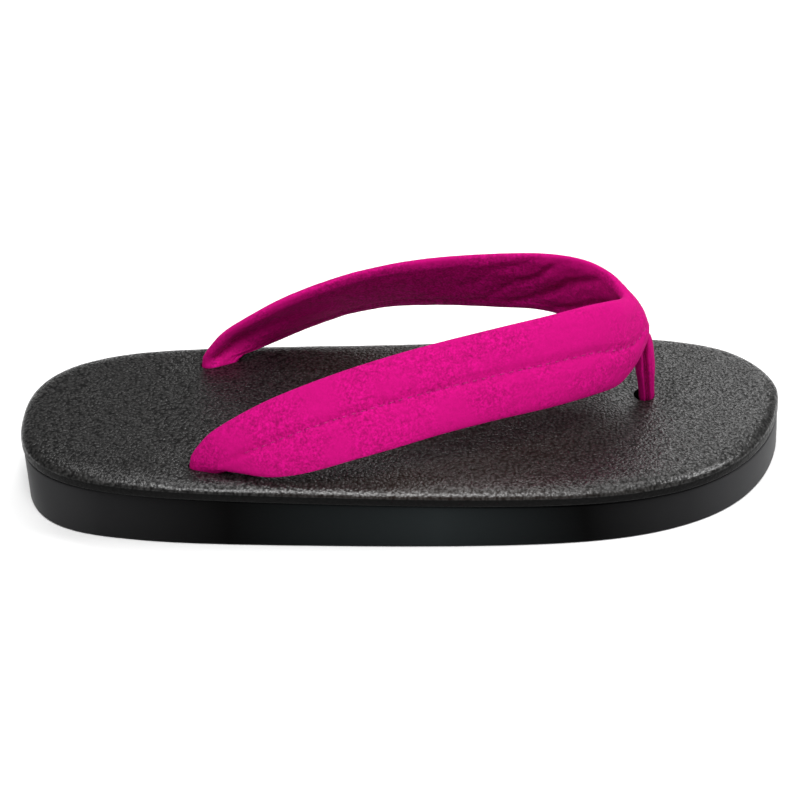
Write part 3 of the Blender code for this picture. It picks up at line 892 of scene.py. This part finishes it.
def velvet():
    material, shader = new_material("fuchsia_cut_velvet", {
        "Roughness": 0.85,
        "Specular IOR Level": 0.06,
        "Sheen Weight": 0.12,
        "Sheen Roughness": 0.35,
        "Sheen Tint": linear("#ff5ab4"),
    })
    place = add(material, "ShaderNodeTexCoord").outputs["Object"]
    shade = add(material, "ShaderNodeAttribute", {"attribute_name": "shade"}).outputs["Fac"]
    fine, brushed, combed = [
        add(material, "ShaderNodeTexNoise", inputs={
            "Vector": place, "Scale": per_metre(size), "Detail": detail})
        for size, detail in ((PILE_SIZE, 3.0), (BRUSHED_SIZE, 2.0), (COMBED_SIZE, 2.0))
    ]
    nap = add(material, "ShaderNodeMath", {"operation": "MULTIPLY_ADD"},
              {0: brushed.outputs["Fac"], 1: 0.5, 2: fine.outputs["Fac"]}).outputs["Value"]
    bright = add(material, "ShaderNodeValToRGB", inputs={"Fac": nap}, stops=BRIGHT_PILE)
    dark = add(material, "ShaderNodeValToRGB", inputs={"Fac": nap}, stops=SHADED_PILE)
    smooth = add(material, "ShaderNodeMapRange", inputs={
        "Value": combed.outputs["Fac"], "From Min": 0.42, "From Max": 0.60,
        "To Min": LEAST_COMBED, "To Max": MOST_COMBED})
    # Painted shade: the shade attribute blends the lit pile into the darker plum pile.
    lit_face = add(material, "ShaderNodeMix", {"data_type": "RGBA"}, {
        "Factor": smooth.outputs["Result"], "A": bright.outputs["Color"], "B": linear(COMBED_FLAT)})
    both_faces = add(material, "ShaderNodeMix", {"data_type": "RGBA"}, {
        "Factor": shade, "A": lit_face.outputs["Result"], "B": dark.outputs["Color"]})
    bump = add(material, "ShaderNodeBump", inputs={"Strength": 0.55, "Distance": PILE_DEPTH, "Height": nap})
    link_all(material, shader, {"Base Color": both_faces.outputs["Result"], "Normal": bump.outputs["Normal"]})
    return material


velvet_finish = velvet()
for piece in (strap, post):
    piece.data.materials.append(velvet_finish)

# %% [markdown]
# ### Sewing thread
# Polyester thread of the strap's colour, painted a little darker than the pile as the shade of the groove it
# lies in.
# Its twist is too small to model, so a noise as fine as the twist paints it lighter and darker, as its light
# and shade.

# %% Thread
TWIST_SIZE = 0.4 * MM
THREAD_TWIST_AND_SHADE = [(0.35, "#7c0a4e"), (0.65, "#b50f72")]


def thread():
    material, shader = new_material("fuchsia_polyester_thread", {"Roughness": 0.5, "Specular IOR Level": 0.3})
    place = add(material, "ShaderNodeTexCoord").outputs["Object"]
    twist = add(material, "ShaderNodeTexNoise", inputs={
        "Vector": place, "Scale": per_metre(TWIST_SIZE), "Detail": 1.0})
    # Painted shade: the thread's colours are darker than the pile, and the twist noise paints its light and
    # shade.
    colour = add(material, "ShaderNodeValToRGB", inputs={"Fac": twist.outputs["Fac"]}, stops=THREAD_TWIST_AND_SHADE)
    link_all(material, shader, {"Base Color": colour.outputs["Color"]})
    return material


thread_finish = thread()
for piece in [seam_thread, *hem_threads]:
    piece.data.materials.append(thread_finish)

# %% [markdown]
# ### The leatherette's grain
# Leatherette is a film of polyurethane, cast on paper that gives it a pebble grain about a millimetre wide.
# The grain is far too fine to model, so it is a height that feeds the bump, the gloss and the colour. Voronoi
# cells, bent by a noise, give the pebbles, and a finer noise breaks them up.

# %% Pebble grain
PEBBLE_SIZE = 0.95 * MM
BEND, BEND_SIZE = 0.9 * MM, 2.2 * MM
FINE_GRAIN_SIZE = 0.8 * MM


def pebble_grain(material, place):
    """Height of the grain = the fine noise - 0.9 times the distance from the nearest pebble's middle."""
    wobble = add(material, "ShaderNodeTexNoise", inputs={
        "Vector": place, "Scale": per_metre(BEND_SIZE), "Detail": 2.0})
    bent = add(material, "ShaderNodeVectorMath", {"operation": "MULTIPLY_ADD"},
               {0: wobble.outputs["Color"], 1: (BEND, BEND, BEND), 2: place})
    pebbles = add(material, "ShaderNodeTexVoronoi", {"feature": "SMOOTH_F1"}, {
        "Vector": bent.outputs["Vector"], "Scale": per_metre(PEBBLE_SIZE), "Smoothness": 0.6})
    fine = add(material, "ShaderNodeTexNoise", inputs={
        "Vector": place, "Scale": per_metre(FINE_GRAIN_SIZE), "Detail": 2.0})
    height = add(material, "ShaderNodeMath", {"operation": "MULTIPLY_ADD"},
                 {0: pebbles.outputs["Distance"], 1: -0.9, 2: fine.outputs["Fac"]})
    return height.outputs["Value"]


# %% [markdown]
# ### Black leatherette, worn on top
# The tops of the pebbles are polished by handling and catch the light, and the furrows stay matt and dark.
# The film is a clear coat over a black base, so its weight follows the grain. Across the middle the base
# carries a brown painted reflection of the strap, and it is a little lighter towards the toe. Where the cover
# is drawn down over the rim, the grain is pulled flat, and below the roll it is dull and its colour is
# painted almost black as shade. One value tells these zones apart: how high a point lies once the board's
# slope is taken away.

# %% Leatherette
GRAIN_DEPTH = 0.24 * MM
GRAIN_LOW, GRAIN_HIGH = -0.22, 0.30
DULL_AND_SHADED_BELOW, LIT_ABOVE = 3.4 * MM, 2.6 * MM
FLAT_BELOW, FULL_ABOVE = 1.8 * MM, 0.2 * MM
DULL_AND_SHADED_SHARE, FLAT_GRAIN = 0.02, 0.32
FURROW_COAT, TOP_COAT = 0.22, 0.95
FURROW_ROUGHNESS, TOP_ROUGHNESS = 0.50, 0.30
REFLECTION_BLOB_SIZE, REFLECTION_WANDER = 45 * MM, 60 * MM
REFLECTION_FROM, REFLECTION_TO = -95 * MM, 155 * MM
BASE_WITH_PAINTED_REFLECTION = [(0.0, "#080808"), (0.30, "#060404"), (0.50, "#150904"),
             (0.68, "#130a06"), (0.85, "#0d0c0b"), (1.0, "#121212")]
PEBBLE_TOPS = [(0.0, "#000000"), (0.5, "#0e0e0d"), (1.0, "#1d1c1b")]


def zone(material, rise, below, above, low, blend):
    """A value that grows from low to 1 between two depths under the footbed's upper face."""
    crown = 0.5 * (footbed_top(-0.5 * LENGTH) + footbed_top(0.5 * LENGTH))
    return add(material, "ShaderNodeMapRange", {"interpolation_type": blend}, {
        "Value": rise, "From Min": crown - below, "From Max": crown - above,
        "To Min": low, "To Max": 1.0}).outputs["Result"]


def leatherette():
    material, shader = new_material("black_grained_leatherette", {
        "Specular IOR Level": 0.06, "Coat Roughness": 0.31, "Coat IOR": 1.6})
    place = add(material, "ShaderNodeTexCoord").outputs["Object"]
    height = pebble_grain(material, place)
    reflection_wobble = add(material, "ShaderNodeTexNoise", inputs={
        "Vector": place, "Scale": per_metre(REFLECTION_BLOB_SIZE), "Detail": 3.0})
    split = add(material, "ShaderNodeSeparateXYZ", inputs={"Vector": place})
    wander = add(material, "ShaderNodeMath", {"operation": "MULTIPLY_ADD"},
                 {0: reflection_wobble.outputs["Fac"], 1: REFLECTION_WANDER, 2: split.outputs["X"]})
    along = add(material, "ShaderNodeMapRange", inputs={
        "Value": wander.outputs["Value"], "From Min": REFLECTION_FROM, "From Max": REFLECTION_TO})
    # Painted reflection: a brown band across the middle stands for the strap's warm reflection, a little
    # lighter towards the toe.
    base = add(material, "ShaderNodeValToRGB", inputs={"Fac": along.outputs["Result"]}, stops=BASE_WITH_PAINTED_REFLECTION)
    grain = add(material, "ShaderNodeMapRange", inputs={
        "Value": height, "From Min": GRAIN_LOW, "From Max": GRAIN_HIGH}).outputs["Result"]
    tops = add(material, "ShaderNodeValToRGB", inputs={"Fac": grain}, stops=PEBBLE_TOPS)
    colour = add(material, "ShaderNodeMix", {"data_type": "RGBA", "blend_type": "ADD"},
                 {"Factor": 1.0, "A": base.outputs["Color"], "B": tops.outputs["Color"]})
    rise = add(material, "ShaderNodeMath", {"operation": "MULTIPLY_ADD"},
               {0: split.outputs["X"], 1: (HEEL_SOLE - TOE_SOLE) / LENGTH, 2: split.outputs["Z"]})
    lit = zone(material, rise.outputs["Value"], DULL_AND_SHADED_BELOW, LIT_ABOVE, DULL_AND_SHADED_SHARE, "SMOOTHSTEP")
    stretched = zone(material, rise.outputs["Value"], FLAT_BELOW, FULL_ABOVE, FLAT_GRAIN, "LINEAR")
    # Painted shade: below the roll the colour is multiplied almost to black, and the coat fades there too.
    colour_shaded_below_roll = add(material, "ShaderNodeMix", {"data_type": "RGBA", "blend_type": "MULTIPLY"},
               {"Factor": 1.0, "A": colour.outputs["Result"], "B": lit})
    gloss = add(material, "ShaderNodeMapRange", inputs={
        "Value": height, "From Min": -0.3, "From Max": 0.5,
        "To Min": FURROW_ROUGHNESS, "To Max": TOP_ROUGHNESS})
    polish = add(material, "ShaderNodeMapRange", inputs={
        "Value": grain, "To Min": FURROW_COAT, "To Max": TOP_COAT})
    film = add(material, "ShaderNodeMath", {"operation": "MULTIPLY"}, {0: lit, 1: polish.outputs["Result"]})
    bump = add(material, "ShaderNodeBump", inputs={
        "Strength": stretched, "Distance": GRAIN_DEPTH, "Height": height}).outputs["Normal"]
    link_all(material, shader, {
        "Base Color": colour_shaded_below_roll.outputs["Result"], "Roughness": gloss.outputs["Result"], "Normal": bump,
        "Coat Weight": film.outputs["Value"], "Coat Normal": bump})
    return material


footbed.data.materials.clear()
footbed.data.materials.append(leatherette())

# %% [markdown]
# ### Black foam rubber
# The wedge is closed-cell foam, moulded against a smooth steel wall. Its skin is satin black, with a faint
# unevenness from the cells below, and it catches the light in broad soft bands. Lamps alone would have to be
# placed for each band, so the bands are painted into the skin's black as a reflection that varies slowly
# along the sole.

# %% Foam
# The real cells are a few tenths of a millimetre wide. They are drawn coarser, so that they show.
CELL_SIZE, CELL_DEPTH = 0.7 * MM, 0.1 * MM
BAND_SIZE, BAND_WANDER = 80 * MM, 20 * MM
BAND_FROM, BAND_TO = -115 * MM, 135 * MM
FOAM_PAINTED_REFLECTION = [(0.0, "#343435"), (0.10, "#1e1e1f"), (0.27, "#010101"), (0.56, "#1f2324"),
             (0.74, "#010101"), (0.88, "#232324"), (1.0, "#3e3e3f")]


def foam():
    material, shader = new_material("black_moulded_foam", {"Specular IOR Level": 0.025})
    place = add(material, "ShaderNodeTexCoord").outputs["Object"]
    cells, bands = [
        add(material, "ShaderNodeTexNoise", inputs={
            "Vector": place, "Scale": per_metre(size), "Detail": detail})
        for size, detail in ((CELL_SIZE, 2.0), (BAND_SIZE, 1.0))
    ]
    split = add(material, "ShaderNodeSeparateXYZ", inputs={"Vector": place})
    wander = add(material, "ShaderNodeMath", {"operation": "MULTIPLY_ADD"},
                 {0: bands.outputs["Fac"], 1: BAND_WANDER, 2: split.outputs["X"]})
    along = add(material, "ShaderNodeMapRange", inputs={
        "Value": wander.outputs["Value"], "From Min": BAND_FROM, "From Max": BAND_TO})
    # Painted reflection: broad light and dark bands of the studio along the sole's wall.
    colour = add(material, "ShaderNodeValToRGB", inputs={"Fac": along.outputs["Result"]}, stops=FOAM_PAINTED_REFLECTION)
    gloss = add(material, "ShaderNodeMapRange", inputs={
        "Value": bands.outputs["Fac"], "To Min": 0.34, "To Max": 0.44})
    bump = add(material, "ShaderNodeBump", inputs={
        "Strength": 0.08, "Distance": CELL_DEPTH, "Height": cells.outputs["Fac"]})
    link_all(material, shader, {
        "Base Color": colour.outputs["Color"], "Roughness": gloss.outputs["Result"],
        "Normal": bump.outputs["Normal"]})
    return material


sole.data.materials.append(foam())

# %% [markdown]
# ## Floor and light
# A plain white floor under a plain white sky. The key is a large soft box above the outer side, and its
# reflection runs along the rolled rim. A strip lies above the inner side, a low box behind the toe gives the
# footbed its pale gloss there, and a box beside the toe lights the corner of the rim. A sky picture would
# light the sandal too, but black, glossy things show where each lamp stands, so the boxes are placed singly.

# %% Floor and light
FLOOR_HALF = 3.0
WORLD_STRENGTH = 0.22
LIGHTS = [
    # name, place, point faced, width, height, power: metres and watts
    ("key", (-0.10, -0.52, 1.10), (0, 0, 0), 0.60, 0.60, 11.8),
    ("strip_above", (0.05, 0.27, 1.00), (0, 0, 0), 1.10, 0.16, 3.8),
    ("behind_toe", (0.32, 0.76, 0.50), (0.09, 0, 0.02), 0.42, 0.30, 1.7),
    ("beside_toe", (0.79, -0.10, 0.79), (0.10, 0, 0.02), 0.36, 0.36, 6.0),
]


def make_floor():
    corners = FLOOR_HALF * np.array([(-1, -1, 0), (1, -1, 0), (1, 1, 0), (-1, 1, 0)], float)
    floor = make_piece("floor", corners, [np.array([[0, 1, 2, 3]])])
    material, shader = new_material("white_paper", {
        "Base Color": linear("#fcfcfc"), "Roughness": 0.9, "Specular IOR Level": 0.0})
    floor.data.materials.append(material)
    return floor


def soft_light(name, place, aim, width, height, power):
    """A soft box of some width and height at a place, turned to face a point."""
    light = bpy.data.lights.new(name, "AREA")
    light.shape = "RECTANGLE"
    light.size, light.size_y = width, height
    light.energy = power
    lamp = bpy.data.objects.new(name, light)
    lamp.location = place
    lamp.rotation_euler = (Vector(aim) - Vector(place)).to_track_quat("-Z", "Y").to_euler()
    bpy.context.scene.collection.objects.link(lamp)


make_floor()
for light in LIGHTS:
    soft_light(*light)

world = bpy.data.worlds.new("white_room")
world.use_nodes = True
world.node_tree.nodes["Background"].inputs["Color"].default_value = linear("#ffffff")
world.node_tree.nodes["Background"].inputs["Strength"].default_value = WORLD_STRENGTH
bpy.context.scene.world = world
bpy.context.scene.view_settings.view_transform = "Standard"
print("lamps:", len(LIGHTS), "with", round(sum(light[-1] for light in LIGHTS), 1), "watts in all")

# %% [markdown]
# ## The camera
# The photograph looks across the sandal from its outer side, 33 degrees above the floor, with a long lens. A
# camera can be moved by eye until the picture fits. These angles were worked out from the outline instead.

# %% The camera
VIEW_WIDTH = math.radians(18)
ELEVATION = math.radians(32.76)
YAW = math.radians(1.70)
ROLL = math.radians(-3.13)
CAMERA_DISTANCE = 830.16 * MM
AIM = np.array([-0.16 * MM, HEEL_AXIS_Y, 24.35 * MM])
SENSOR_WIDTH = 36.0


def make_camera():
    """Camera at aim - forward * distance, turned by the elevation and yaw, then rolled about its axis."""
    level = np.array([math.cos(YAW), math.sin(YAW), 0.0])
    ahead = np.array([-math.sin(YAW), math.cos(YAW), 0.0])
    forward = ahead * math.cos(ELEVATION) - np.array([0.0, 0.0, math.sin(ELEVATION)])
    upright = np.cross(level, forward)
    right = level * math.cos(ROLL) + upright * math.sin(ROLL)
    up = upright * math.cos(ROLL) - level * math.sin(ROLL)
    data = bpy.data.cameras.new("camera")
    data.sensor_width = SENSOR_WIDTH
    data.lens = 0.5 * SENSOR_WIDTH / math.tan(0.5 * VIEW_WIDTH)
    data.clip_start, data.clip_end = 0.01, 20.0
    camera = bpy.data.objects.new("camera", data)
    turn = np.eye(4)
    turn[:3, 0], turn[:3, 1], turn[:3, 2] = right, up, -forward
    turn[:3, 3] = AIM - forward * CAMERA_DISTANCE
    camera.matrix_world = Matrix(turn.tolist())
    bpy.context.scene.collection.objects.link(camera)
    bpy.context.scene.camera = camera
    print("camera's lens:", round(data.lens, 1), "mm")


make_camera()
